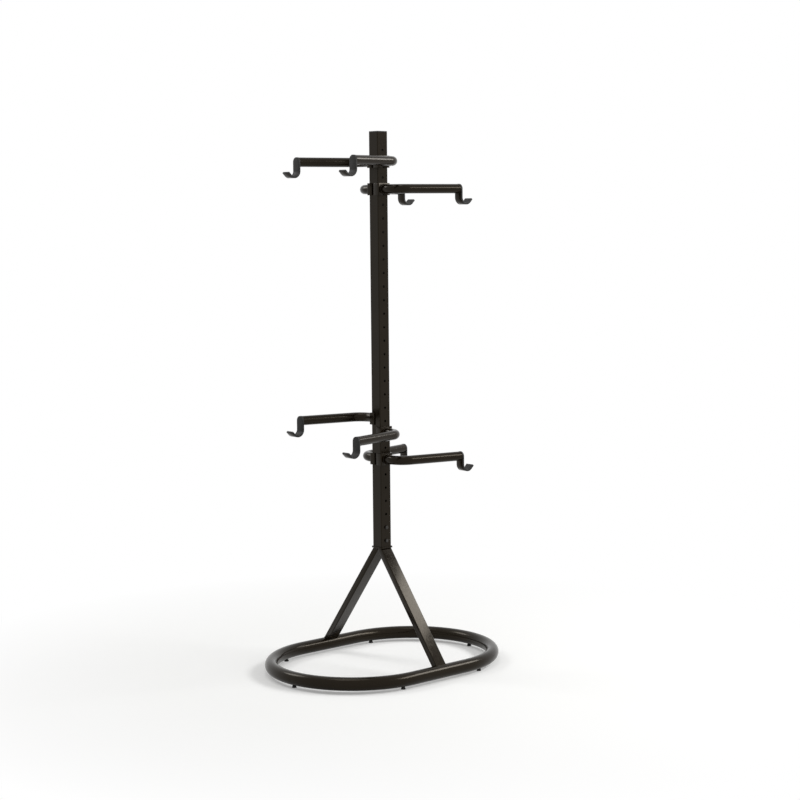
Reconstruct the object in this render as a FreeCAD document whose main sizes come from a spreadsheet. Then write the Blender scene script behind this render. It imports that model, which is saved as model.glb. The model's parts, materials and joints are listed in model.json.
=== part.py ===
import FreeCAD, Part
import math
import os

import Sketcher

# Two tier bike rack that stands on the floor. Units are millimetres, +Z is up and the
# origin is on the floor on the mast's axis. The legs lie in the XZ plane.

doc = FreeCAD.newDocument("BikeRack")

# Driving dimensions. Every size is written once here and read from here by name.
SIZES = {
    "ring_tube": 50.8,
    "ring_wall": 2.5,
    "ring_radius": 330.0,
    "ring_straight": 137.0,
    "sleeve_length": 120.0,
    "sleeve_wall": 2.0,
    "foot_height": 9.0,
    "foot_width": 18.0,
    "foot_neck": 13.0,
    "foot_rise": 4.0,
    "foot_bearing": 13.0,
    "foot_turn": 4.5,
    "screw_shank": 4.0,
    "screw_head": 8.0,
    "screw_head_height": 3.0,
    "screw_seat": 5.0,
    "screw_reach": 14.0,
    "screw_gap": 0.1,
    "screw_seat_gap": 1.0,
    "leg_thick": 25.4,
    "leg_width": 50.8,
    "leg_wall": 2.0,
    "leg_corner": 3.0,
    "leg_apex": 481.0,
    "leg_drop": 10.0,
    "leg_inset": 10.0,
    "plate_drop": 11.0,
    "plate_side": 60.0,
    "plate_thick": 6.0,
    "plate_corner": 6.0,
    "mast_side": 50.8,
    "mast_wall": 2.5,
    "mast_corner": 3.5,
    "mast_top": 2076.0,
    "spigot_over": 34.0,
    "spigot_wall": 3.0,
    "spigot_gap": 0.1,
    "inner_corner": 0.5,
    "cap_thick": 4.0,
    "cap_plug": 18.0,
    "cap_wall": 2.5,
    "cap_round": 1.5,
    "hole_size": 9.5,
    "hole_inset": 68.0,
    "hole_clear": 24.0,
    "hole_pitch": 52.0,
    "bolt_shank": 8.0,
    "bolt_gap": 1.0,
    "bolt_head": 13.0,
    "bolt_head_height": 5.3,
    "nut_height": 6.5,
    "bolt_tail": 3.0,
    "insert_bore": 6.0,
    "insert_length": 14.0,
    "insert_bulb": 13.0,
    "insert_bulb_length": 4.5,
    "stud_shoulder": 9.0,
    "stud_head": 15.0,
    "stud_head_height": 3.3,
    "stud_thread": 11.0,
    "running_gap": 0.3,
    "saddle_web": 8.0,
    "saddle_slot_depth": 4.0,
    "saddle_flange": 4.0,
    "saddle_wrap": 20.0,
    "saddle_half": 23.0,
    "saddle_round": 4.0,
    "stud_drop": 8.0,
    "arm_tube": 36.0,
    "arm_wall": 2.5,
    "arm_straight": 60.0,
    "arm_bend": 60.0,
    "arm_turn": 77.5,
    "hook_x": 166.5,
    "hook_y": 264.0,
    "strap_width": 33.0,
    "strap_thick": 4.0,
    "strap_drop": 61.0,
    "curl_radius": 24.0,
    "curl_rise": 45.0,
    "lip_length": 14.0,
    "pad_thick": 3.0,
    "pad_rim": 2.0,
}

sheet = doc.addObject("Spreadsheet::Sheet", "Sizes")
for row, (alias, value) in enumerate(SIZES.items(), start=1):
    sheet.set("A%d" % row, alias)
    sheet.set("B%d" % row, str(value))
    sheet.setAlias("B%d" % row, alias)
doc.recompute()

# Each name of a file in parts/ with the object it is written from.
nodes = {}


def cell(alias):
    """Value of one driving dimension."""
    return float(sheet.get(alias))


def value_of(formula):
    """Number that a formula over the driving dimensions comes to."""
    return float(doc.Sizes.evalExpression(formula.replace("Sizes.", "")))


def new_body(label):
    body = doc.addObject("PartDesign::Body", label)
    body.Label = label
    nodes[label] = body
    return body


def place(item, across="0", along="0", up="0", turn="0"):
    """Bind where an object stands and how far it is turned about the vertical."""
    item.Placement = FreeCAD.Placement(FreeCAD.Vector(), FreeCAD.Rotation(FreeCAD.Vector(0, 0, 1), 1))
    item.setExpression("Placement.Base.x", across)
    item.setExpression("Placement.Base.y", along)
    item.setExpression("Placement.Base.z", up)
    item.setExpression("Placement.Rotation.Angle", turn)


def add_sketch(body, name, plane, shift=None):
    sketch = body.newObject("Sketcher::SketchObject", name)
    support = [item for item in body.Origin.OriginFeatures if item.Role == plane][0]
    sketch.AttachmentSupport = [(support, "")]
    sketch.MapMode = "FlatFace"
    if shift:
        sketch.setExpression("AttachmentOffset.Base.z", shift)
    return sketch


def fix_point(sketch, geometry, vertex, position):
    """Bind a point of the sketch to a pair of formulas."""
    for kind, axis, formula in (("DistanceX", -2, position[0]), ("DistanceY", -1, position[1])):
        if formula == "0":
            sketch.addConstraint(Sketcher.Constraint("PointOnObject", geometry, vertex, axis))
            continue
        number = value_of(formula)
        index = sketch.addConstraint(Sketcher.Constraint(kind, -1, 1, geometry, vertex, number))
        sketch.setExpression("Constraints[%d]" % index, formula)


def add_polygon(sketch, corners):
    """Closed polygon whose corners are pairs of formulas."""
    points = [FreeCAD.Vector(value_of(a), value_of(b), 0) for a, b in corners]
    first = sketch.GeometryCount
    count = len(points)
    for step in range(count):
        sketch.addGeometry(Part.LineSegment(points[step], points[(step + 1) % count]), False)
    for step in range(count):
        sketch.addConstraint(
            Sketcher.Constraint("Coincident", first + step, 2, first + (step + 1) % count, 1))
    for step in range(count):
        fix_point(sketch, first + step, 1, corners[step])


def add_circle(sketch, centre, diameter):
    middle = FreeCAD.Vector(value_of(centre[0]), value_of(centre[1]), 0)
    size = value_of(diameter)
    index = sketch.addGeometry(Part.Circle(middle, FreeCAD.Vector(0, 0, 1), size / 2), False)
    fix_point(sketch, index, 3, centre)
    bound = sketch.addConstraint(Sketcher.Constraint("Diameter", index, size))
    sketch.setExpression("Constraints[%d]" % bound, diameter)


def add_rounded_square(sketch, side, corner):
    """Square about the origin with round corners."""
    half = value_of(side) / 2
    radius = value_of(corner)
    inner = half - radius
    spots = [(1, -1), (1, 1), (-1, 1), (-1, -1)]
    first = sketch.GeometryCount
    for step, (a, b) in enumerate(spots):
        start = math.radians(-90 + 90 * step)
        circle = Part.Circle(FreeCAD.Vector(a * inner, b * inner, 0), FreeCAD.Vector(0, 0, 1), radius)
        sketch.addGeometry(Part.ArcOfCircle(circle, start, start + math.pi / 2), False)
    for step in range(4):
        begin = sketch.getPoint(first + step, 2)
        finish = sketch.getPoint(first + (step + 1) % 4, 1)
        sketch.addGeometry(Part.LineSegment(begin, finish), False)
    for step in range(4):
        line = first + 4 + step
        sketch.addConstraint(Sketcher.Constraint("Tangent", first + step, 2, line, 1))
        sketch.addConstraint(Sketcher.Constraint("Tangent", line, 2, first + (step + 1) % 4, 1))
        kind = "Vertical" if step % 2 == 0 else "Horizontal"
        sketch.addConstraint(Sketcher.Constraint(kind, line))
    for step in range(1, 4):
        sketch.addConstraint(Sketcher.Constraint("Equal", first, first + step))
    bound = sketch.addConstraint(Sketcher.Constraint("Radius", first, radius))
    sketch.setExpression("Constraints[%d]" % bound, corner)
    for line, kind, sign in ((4, "DistanceX", 1), (6, "DistanceX", -1),
                             (5, "DistanceY", 1), (7, "DistanceY", -1)):
        bound = sketch.addConstraint(
            Sketcher.Constraint(kind, -1, 1, first + line, 1, sign * half))
        sketch.setExpression("Constraints[%d]" % bound, "%d * (%s) / 2" % (sign, side))


def add_pad(body, name, sketch, length, both_ways=False, backwards=False):
    pad = body.newObject("PartDesign::Pad", name)
    pad.Profile = sketch
    pad.setExpression("Length", length)
    pad.Midplane = both_ways
    pad.Reversed = backwards
    return pad


def add_pocket(body, name, sketch, length=None, both_ways=False, backwards=False):
    """Cut a sketch out of the body, right through where no length is given."""
    doc.recompute()
    before = body.Shape.Volume
    pocket = body.newObject("PartDesign::Pocket", name)
    pocket.Profile = sketch
    if length:
        pocket.setExpression("Length", length)
    else:
        pocket.Type = "ThroughAll"
    pocket.Midplane = both_ways
    pocket.Reversed = backwards
    doc.recompute()
    if not body.Shape.Volume < before - 0.01:
        raise RuntimeError("%s cuts nothing" % name)
    return pocket


def edges_where(shape, test):
    """Names of the edges whose two end points together pass a test."""
    found = []
    for number, edge in enumerate(shape.Edges, start=1):
        ends = [vertex.Point for vertex in edge.Vertexes]
        if len(ends) == 2 and test(*ends):
            found.append("Edge%d" % number)
    return found


def add_fillet(body, name, radius, test):
    """Round the edges of the body whose two ends pass a test."""
    doc.recompute()
    base = body.Tip
    names = edges_where(base.Shape, test)
    if not names:
        raise RuntimeError("%s finds no edge" % name)
    fillet = body.newObject("PartDesign::Fillet", name)
    fillet.Base = (base, names)
    fillet.setExpression("Radius", radius)
    return fillet


def add_rod(name, diameter, length, start, sign=1):
    """Round bar along X from a start, towards +X or -X."""
    rod = doc.addObject("Part::Cylinder", name)
    rod.setExpression("Radius", "(%s) / 2" % diameter)
    rod.setExpression("Height", length)
    facing = FreeCAD.Rotation(FreeCAD.Vector(0, 1, 0), 90 * sign)
    rod.Placement = FreeCAD.Placement(FreeCAD.Vector(), facing)
    rod.setExpression("Placement.Base.x", "%d * (%s)" % (sign, start))
    return rod


def join(name, pieces):
    fused = doc.addObject("Part::MultiFuse", name)
    fused.Shapes = pieces
    return fused


def take_away(name, base, tool):
    cut = doc.addObject("Part::Cut", name)
    cut.Base = base
    cut.Tool = tool
    return cut


def group(label, pieces):
    """Several equal fasteners that share one node."""
    compound = doc.addObject("Part::Compound", label)
    compound.Label = label
    compound.Links = pieces
    nodes[label] = compound
    return compound


# Floor ring: two bent halves, joined by sleeves under the legs.
RING_MID = "Sizes.foot_height + Sizes.ring_tube / 2"
FOOT_BEARINGS = ["Sizes.foot_bearing", "90", "180 - Sizes.foot_bearing"]
# Where the feet of each half stand, and which way that half is turned.
HALVES = {
    1: FOOT_BEARINGS,
    -1: [bearing + " + Sizes.foot_turn" for bearing in FOOT_BEARINGS],
}


def foot_x(bearing):
    return "Sizes.ring_radius * cos((%s) * 1 deg)" % bearing


def foot_y(bearing):
    return "Sizes.ring_straight + Sizes.ring_radius * sin((%s) * 1 deg)" % bearing


def build_ring_half(label, sign):
    body = new_body(label)
    path = add_sketch(body, label + "_path", "XY_Plane")
    radius = cell("ring_radius")
    straight = cell("ring_straight")
    middle = FreeCAD.Vector(0, straight, 0)
    path.addGeometry(Part.LineSegment(FreeCAD.Vector(radius, 0, 0), FreeCAD.Vector(radius, straight, 0)), False)
    circle = Part.Circle(middle, FreeCAD.Vector(0, 0, 1), radius)
    path.addGeometry(Part.ArcOfCircle(circle, 0, math.pi), False)
    path.addGeometry(Part.LineSegment(FreeCAD.Vector(-radius, straight, 0), FreeCAD.Vector(-radius, 0, 0)), False)
    path.addConstraint(Sketcher.Constraint("Tangent", 0, 2, 1, 1))
    path.addConstraint(Sketcher.Constraint("Tangent", 1, 2, 2, 1))
    path.addConstraint(Sketcher.Constraint("Vertical", 0))
    path.addConstraint(Sketcher.Constraint("Vertical", 2))
    fix_point(path, 1, 3, ("0", "Sizes.ring_straight"))
    path.addConstraint(Sketcher.Constraint("PointOnObject", 0, 1, -1))
    path.addConstraint(Sketcher.Constraint("PointOnObject", 2, 2, -1))
    bound = path.addConstraint(Sketcher.Constraint("Radius", 1, radius))
    path.setExpression("Constraints[%d]" % bound, "Sizes.ring_radius")
    profile = add_sketch(body, label + "_profile", "XZ_Plane")
    add_circle(profile, ("Sizes.ring_radius", "0"), "Sizes.ring_tube")
    add_circle(profile, ("Sizes.ring_radius", "0"), "Sizes.ring_tube - 2 * Sizes.ring_wall")
    pipe = body.newObject("PartDesign::AdditivePipe", label + "_pipe")
    pipe.Profile = profile
    pipe.Spine = path
    holes = add_sketch(body, label + "_holes", "XY_Plane")
    for bearing in HALVES[sign]:
        add_circle(holes, (foot_x(bearing), foot_y(bearing)), "Sizes.screw_shank + 2 * Sizes.screw_gap")
    add_pocket(body, label + "_screw_holes", holes)
    place(body, up=RING_MID, turn="%d" % (0 if sign > 0 else 180))


build_ring_half("ring_rear_half", 1)
build_ring_half("ring_front_half", -1)

sleeves = []
for side, sign in (("left", -1), ("right", 1)):
    outer = doc.addObject("Part::Cylinder", "sleeve_outer_" + side)
    inner = doc.addObject("Part::Cylinder", "sleeve_inner_" + side)
    outer.setExpression("Radius", "Sizes.ring_tube / 2 - Sizes.ring_wall")
    inner.setExpression("Radius", "Sizes.ring_tube / 2 - Sizes.ring_wall - Sizes.sleeve_wall")
    for piece in (outer, inner):
        piece.setExpression("Height", "Sizes.sleeve_length")
        piece.Placement = FreeCAD.Placement(FreeCAD.Vector(), FreeCAD.Rotation(FreeCAD.Vector(1, 0, 0), 90))
        piece.setExpression("Placement.Base.x", "%d * Sizes.ring_radius" % sign)
        piece.setExpression("Placement.Base.y", "Sizes.sleeve_length / 2")
        piece.setExpression("Placement.Base.z", RING_MID)
    sleeves.append(take_away("sleeve_" + side, outer, inner))
group("ring_sleeves", sleeves)


# Feet: rubber pads turned to the tube's underside, each with one screw.
def build_foot(number, bearing, sign):
    label = "foot_%d" % number
    body = new_body(label)
    outline = add_sketch(body, label + "_outline", "XZ_Plane")
    bore = "Sizes.screw_shank / 2 + Sizes.screw_gap"
    seat = "Sizes.screw_head / 2 + Sizes.screw_seat_gap"
    add_polygon(outline, [
        (bore, "Sizes.screw_seat"),
        (seat, "Sizes.screw_seat"),
        (seat, "0"),
        ("Sizes.foot_width / 2", "0"),
        ("Sizes.foot_neck / 2", "Sizes.foot_height"),
        ("Sizes.foot_neck / 2", "Sizes.foot_height + Sizes.foot_rise"),
        (bore, "Sizes.foot_height + Sizes.foot_rise"),
    ])
    turned = body.newObject("PartDesign::Revolution", label + "_turned")
    turned.Profile = outline
    turned.ReferenceAxis = (outline, ["V_Axis"])
    turned.Angle = 360
    doc.recompute()
    before = body.Shape.Volume
    cope = add_sketch(body, label + "_cope", "XZ_Plane")
    add_circle(cope, ("0", RING_MID), "Sizes.ring_tube")
    far = cell("ring_radius")
    high = cell("ring_tube")
    axis = cope.addGeometry(
        Part.LineSegment(FreeCAD.Vector(-far, 0, 0), FreeCAD.Vector(-far, high, 0)), True)
    fix_point(cope, axis, 1, ("-Sizes.ring_radius", "0"))
    cope.addConstraint(Sketcher.Constraint("Vertical", axis))
    bound = cope.addConstraint(Sketcher.Constraint("DistanceY", axis, 1, axis, 2, high))
    cope.setExpression("Constraints[%d]" % bound, "Sizes.ring_tube")
    groove = body.newObject("PartDesign::Groove", label + "_groove")
    groove.Profile = cope
    groove.ReferenceAxis = (cope, ["Axis0"])
    groove.Angle = 20
    groove.Midplane = True
    doc.recompute()
    if not body.Shape.Volume < before - 1:
        raise RuntimeError("%s is not coped" % label)
    place(body, "%d * %s" % (sign, foot_x(bearing)), "%d * (%s)" % (sign, foot_y(bearing)), "0",
          "%s + %d" % (bearing, 0 if sign > 0 else 180))


def build_foot_screw(number, bearing, sign):
    shank = doc.addObject("Part::Cylinder", "screw_shank_%d" % number)
    head = doc.addObject("Part::Cylinder", "screw_head_%d" % number)
    shank.setExpression("Radius", "Sizes.screw_shank / 2")
    shank.setExpression("Height", "Sizes.screw_reach")
    head.setExpression("Radius", "Sizes.screw_head / 2")
    head.setExpression("Height", "Sizes.screw_head_height")
    place(shank, up="Sizes.screw_seat")
    place(head, up="Sizes.screw_seat - Sizes.screw_head_height")
    screw = join("screw_%d" % number, [shank, head])
    place(screw, "%d * %s" % (sign, foot_x(bearing)), "%d * (%s)" % (sign, foot_y(bearing)))
    return screw


screws = []
for sign, bearings in HALVES.items():
    for bearing in bearings:
        count = len(screws) + 1
        build_foot(count, bearing, sign)
        screws.append(build_foot_screw(count, bearing, sign))
group("foot_screws", screws)


# Legs: rectangular tubes that lean together, coped to the ring and mitred at the top.
LEG_RUN = "(Sizes.ring_radius - Sizes.leg_inset)"
LEG_RISE = "(Sizes.leg_apex - Sizes.foot_height - Sizes.ring_tube)"
PLATE_SEAT = "(Sizes.leg_apex - Sizes.plate_drop)"
LEG_LOW = "Sizes.foot_height + Sizes.ring_tube / 2 + Sizes.leg_drop"


def leg_edge(side, inset, level):
    """Distance out from the mast's axis of the leg's upper or lower edge at a level."""
    slant = "sqrt(%s ^ 2 + %s ^ 2)" % (LEG_RUN, LEG_RISE)
    lift = "(Sizes.leg_thick / 2 - %s) * %s / %s" % (inset, slant, LEG_RUN)
    return "(Sizes.leg_apex + %d * %s - (%s)) * %s / %s" % (side, lift, level, LEG_RUN, LEG_RISE)


def leg_middle(side, inset):
    """Height at which the leg's upper or lower edge meets the mitre plane."""
    slant = "sqrt(%s ^ 2 + %s ^ 2)" % (LEG_RUN, LEG_RISE)
    return "Sizes.leg_apex + %d * (Sizes.leg_thick / 2 - %s) * %s / %s" % (side, inset, slant, LEG_RUN)


def is_long_edge(start, end):
    """Whether an edge runs the whole way from the leg's foot to its top."""
    return abs(start.z - end.z) > 0.6 * value_of("%s - (%s)" % (PLATE_SEAT, LEG_LOW))


def build_leg(label, turn):
    body = new_body(label)
    outside = add_sketch(body, label + "_outside", "XZ_Plane")
    add_polygon(outside, [
        ("0", leg_middle(-1, "0")),
        ("0", PLATE_SEAT),
        (leg_edge(1, "0", PLATE_SEAT), PLATE_SEAT),
        (leg_edge(1, "0", LEG_LOW), LEG_LOW),
        (leg_edge(-1, "0", LEG_LOW), LEG_LOW),
    ])
    add_pad(body, label + "_bar", outside, "Sizes.leg_width", both_ways=True)
    add_fillet(body, label + "_corners", "Sizes.leg_corner", is_long_edge)
    inside = add_sketch(body, label + "_inside", "XZ_Plane")
    over = PLATE_SEAT + " + Sizes.leg_thick / 4"
    under = LEG_LOW + " - Sizes.leg_thick / 4"
    wall = "Sizes.leg_wall"
    add_polygon(inside, [
        (leg_edge(-1, wall, over), over),
        (leg_edge(1, wall, over), over),
        (leg_edge(1, wall, under), under),
        (leg_edge(-1, wall, under), under),
    ])
    add_pocket(body, label + "_hollow", inside, "Sizes.leg_width - 2 * Sizes.leg_wall", both_ways=True)
    cope = add_sketch(body, label + "_cope", "XZ_Plane")
    add_circle(cope, ("Sizes.ring_radius", RING_MID), "Sizes.ring_tube")
    add_pocket(body, label + "_saddle_cut", cope, both_ways=True)
    place(body, turn=turn)


build_leg("leg_right", "0")
build_leg("leg_left", "180")

# Apex plate on the legs, with the square spigot that the mast drops over.
plate = new_body("apex_plate")
plate_outline = add_sketch(plate, "plate_outline", "XY_Plane")
add_rounded_square(plate_outline, "Sizes.plate_side", "Sizes.plate_corner")
add_pad(plate, "plate_pad", plate_outline, "Sizes.plate_thick")
place(plate, up=PLATE_SEAT)

SPIGOT_SIDE = "Sizes.mast_side - 2 * Sizes.mast_wall - 2 * Sizes.spigot_gap"
MAST_FOOT = PLATE_SEAT + " + Sizes.plate_thick"
TOP_HOLE = "Sizes.mast_top - Sizes.hole_inset"
HOLE_STEPS = "floor((%s - (%s) - Sizes.hole_clear) / Sizes.hole_pitch)" % (TOP_HOLE, MAST_FOOT)
BOLT_LEVELS = ["%s - (%s - %d) * Sizes.hole_pitch" % (TOP_HOLE, HOLE_STEPS, step) for step in (1, 0)]

spigot = new_body("mast_spigot")
spigot_outline = add_sketch(spigot, "spigot_outline", "XY_Plane")
add_rounded_square(spigot_outline, SPIGOT_SIDE, "Sizes.mast_corner - Sizes.mast_wall")
add_rounded_square(spigot_outline, SPIGOT_SIDE + " - 2 * Sizes.spigot_wall", "Sizes.inner_corner")
add_pad(spigot, "spigot_pad", spigot_outline, "%s - (%s) + Sizes.spigot_over" % (BOLT_LEVELS[0], MAST_FOOT))
spigot_holes = add_sketch(spigot, "spigot_holes", "YZ_Plane")
for level in BOLT_LEVELS:
    add_circle(spigot_holes, ("0", "%s - (%s)" % (level, MAST_FOOT)), "Sizes.bolt_shank + Sizes.bolt_gap")
add_pocket(spigot, "spigot_bolt_holes", spigot_holes, both_ways=True)
place(spigot, up=MAST_FOOT)

# Mast: square tube with one row of holes through its two side faces.
mast = new_body("mast")
mast_outline = add_sketch(mast, "mast_outline", "XY_Plane")
add_rounded_square(mast_outline, "Sizes.mast_side", "Sizes.mast_corner")
add_rounded_square(mast_outline, "Sizes.mast_side - 2 * Sizes.mast_wall",
                   "Sizes.mast_corner - Sizes.mast_wall")
add_pad(mast, "mast_pad", mast_outline, "Sizes.mast_top - (%s)" % MAST_FOOT)
mast_hole = add_sketch(mast, "mast_hole", "YZ_Plane")
add_circle(mast_hole, ("0", "%s - (%s)" % (TOP_HOLE, MAST_FOOT)), "Sizes.hole_size")
first_hole = add_pocket(mast, "mast_first_hole", mast_hole, both_ways=True)
hole_row = mast.newObject("PartDesign::LinearPattern", "mast_hole_row")
hole_row.Originals = [first_hole]
hole_row.Direction = (mast_hole, ["V_Axis"])
hole_row.Reversed = True
hole_row.setExpression("Length", "Sizes.hole_pitch * %s" % HOLE_STEPS)
hole_row.setExpression("Occurrences", "%s + 1" % HOLE_STEPS)
mast.Tip = hole_row
place(mast, up=MAST_FOOT)

cap = new_body("mast_top_cap")
cap_outline = add_sketch(cap, "cap_outline", "XY_Plane")
add_rounded_square(cap_outline, "Sizes.mast_side", "Sizes.mast_corner")
add_pad(cap, "cap_top", cap_outline, "Sizes.cap_thick")
plug_outline = add_sketch(cap, "plug_outline", "XY_Plane")
add_rounded_square(plug_outline, "Sizes.mast_side - 2 * Sizes.mast_wall",
                   "Sizes.mast_corner - Sizes.mast_wall")
add_rounded_square(plug_outline, "Sizes.mast_side - 2 * Sizes.mast_wall - 2 * Sizes.cap_wall",
                   "Sizes.inner_corner")
add_pad(cap, "cap_plug", plug_outline, "Sizes.cap_plug", backwards=True)
cap_top = cell("cap_thick")
add_fillet(cap, "cap_edge", "Sizes.cap_round",
           lambda start, end: abs(start.z - cap_top) < 0.01 and abs(end.z - cap_top) < 0.01)
place(cap, up="Sizes.mast_top")


# Cross bolts with hexagon heads, and their nuts, through the mast's two lowest holes.
def add_hexagon(name, length, start, sign):
    prism = doc.addObject("Part::Prism", name)
    prism.Polygon = 6
    prism.setExpression("Circumradius", "Sizes.bolt_head / sqrt(3)")
    prism.setExpression("Height", length)
    prism.Placement = FreeCAD.Placement(FreeCAD.Vector(), FreeCAD.Rotation(FreeCAD.Vector(0, 1, 0), 90 * sign))
    prism.setExpression("Placement.Base.x", "%d * (%s)" % (sign, start))
    return prism


bolts = []
nuts = []
BOLT_TAIL = "Sizes.nut_height + Sizes.bolt_tail"
for number, level in enumerate(BOLT_LEVELS, start=1):
    head = add_hexagon("bolt_head_%d" % number, "Sizes.bolt_head_height", "Sizes.mast_side / 2", 1)
    shank = add_rod("bolt_shank_%d" % number, "Sizes.bolt_shank",
                    "Sizes.mast_side + %s" % BOLT_TAIL, "-Sizes.mast_side / 2", -1)
    bolt = join("bolt_%d" % number, [head, shank])
    place(bolt, up=level)
    bolts.append(bolt)
    block = add_hexagon("nut_block_%d" % number, "Sizes.nut_height", "Sizes.mast_side / 2", -1)
    bore = add_rod("nut_bore_%d" % number, "Sizes.bolt_shank", "Sizes.nut_height", "Sizes.mast_side / 2", -1)
    nut = take_away("nut_%d" % number, block, bore)
    place(nut, up=level)
    nuts.append(nut)
group("mast_bolts", bolts)
group("mast_nuts", nuts)


# Arms. Each hangs on a stud in one hole, counted down from the top one.
def build_insert(name, sign):
    sleeve = add_rod(name + "_sleeve", "Sizes.hole_size", "Sizes.insert_length",
                     "Sizes.mast_side / 2 - Sizes.insert_length", sign)
    bulb = add_rod(name + "_bulb", "Sizes.insert_bulb", "Sizes.insert_bulb_length",
                   "Sizes.mast_side / 2 - Sizes.mast_wall - Sizes.insert_bulb_length", sign)
    bore = add_rod(name + "_bore", "Sizes.insert_bore", "Sizes.insert_length",
                   "Sizes.mast_side / 2 - Sizes.insert_length", sign)
    return take_away(name, join(name + "_blank", [sleeve, bulb]), bore)


STUD_SHOULDER = "(Sizes.saddle_web - Sizes.saddle_slot_depth + 2 * Sizes.running_gap)"


def build_stud(name, sign):
    thread = add_rod(name + "_thread", "Sizes.insert_bore", "Sizes.stud_thread",
                     "Sizes.mast_side / 2 - Sizes.stud_thread", sign)
    shoulder = add_rod(name + "_shoulder", "Sizes.stud_shoulder", STUD_SHOULDER, "Sizes.mast_side / 2", sign)
    head = add_rod(name + "_head", "Sizes.stud_head", "Sizes.stud_head_height",
                   "Sizes.mast_side / 2 + %s" % STUD_SHOULDER, sign)
    return join(name, [thread, shoulder, head])


SADDLE_BACK = "Sizes.mast_side / 2 + Sizes.running_gap"
SADDLE_FRONT = "Sizes.mast_side / 2 + Sizes.running_gap + Sizes.saddle_web"


def build_saddle(label):
    body = new_body(label)
    outline = add_sketch(body, label + "_outline", "XY_Plane")
    tips = SADDLE_BACK + " - Sizes.saddle_wrap"
    inside = "Sizes.mast_side / 2 + Sizes.running_gap"
    outside = inside + " + Sizes.saddle_flange"
    add_polygon(outline, [
        (tips, inside), (tips, outside), (SADDLE_FRONT, outside), (SADDLE_FRONT, "-(%s)" % outside),
        (tips, "-(%s)" % outside), (tips, "-(%s)" % inside), (SADDLE_BACK, "-(%s)" % inside),
        (SADDLE_BACK, inside),
    ])
    add_pad(body, label + "_channel", outline, "2 * Sizes.saddle_half", both_ways=True)
    front = value_of(SADDLE_FRONT)

    def is_front_upright(start, end):
        """Whether an edge stands upright at an outer corner of the web."""
        return (abs(start.x - front) < 0.01 and abs(end.x - front) < 0.01
                and abs(start.z - end.z) > 1 and abs(start.y - end.y) < 0.01)

    add_fillet(body, label + "_round", "Sizes.saddle_round", is_front_upright)
    narrow = "Sizes.stud_shoulder / 2 + Sizes.running_gap"
    wide = "Sizes.stud_head / 2 + Sizes.running_gap"
    for word, half, start, depth in (
            ("slot", narrow, SADDLE_BACK, "Sizes.saddle_web"),
            ("rebate", wide, SADDLE_FRONT + " - Sizes.saddle_slot_depth", "Sizes.saddle_slot_depth")):
        sketch = add_sketch(body, "%s_%s" % (label, word), "YZ_Plane", shift=start)
        add_slot(sketch, half, "-Sizes.stud_drop", "-Sizes.saddle_half - Sizes.saddle_flange / 2")
        add_pocket(body, "%s_%s_cut" % (label, word), sketch, depth, backwards=True)
    return body


def add_slot(sketch, half, centre, bottom):
    """Upright slot with a round top about a centre and a square open bottom."""
    reach = value_of(half)
    middle = value_of(centre)
    low = value_of(bottom)
    circle = Part.Circle(FreeCAD.Vector(0, middle, 0), FreeCAD.Vector(0, 0, 1), reach)
    sketch.addGeometry(Part.ArcOfCircle(circle, 0, math.pi), False)
    corners = [(-reach, middle), (-reach, low), (reach, low), (reach, middle)]
    for a, b in zip(corners, corners[1:]):
        sketch.addGeometry(Part.LineSegment(FreeCAD.Vector(*a, 0), FreeCAD.Vector(*b, 0)), False)
    sketch.addConstraint(Sketcher.Constraint("Tangent", 0, 2, 1, 1))
    sketch.addConstraint(Sketcher.Constraint("Coincident", 1, 2, 2, 1))
    sketch.addConstraint(Sketcher.Constraint("Coincident", 2, 2, 3, 1))
    sketch.addConstraint(Sketcher.Constraint("Tangent", 3, 2, 0, 1))
    sketch.addConstraint(Sketcher.Constraint("Vertical", 1))
    sketch.addConstraint(Sketcher.Constraint("Horizontal", 2))
    sketch.addConstraint(Sketcher.Constraint("Vertical", 3))
    fix_point(sketch, 0, 3, ("0", centre))
    bound = sketch.addConstraint(Sketcher.Constraint("Radius", 0, reach))
    sketch.setExpression("Constraints[%d]" % bound, half)
    bound = sketch.addConstraint(Sketcher.Constraint("DistanceY", -1, 1, 2, 1, low))
    sketch.setExpression("Constraints[%d]" % bound, bottom)


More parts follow.
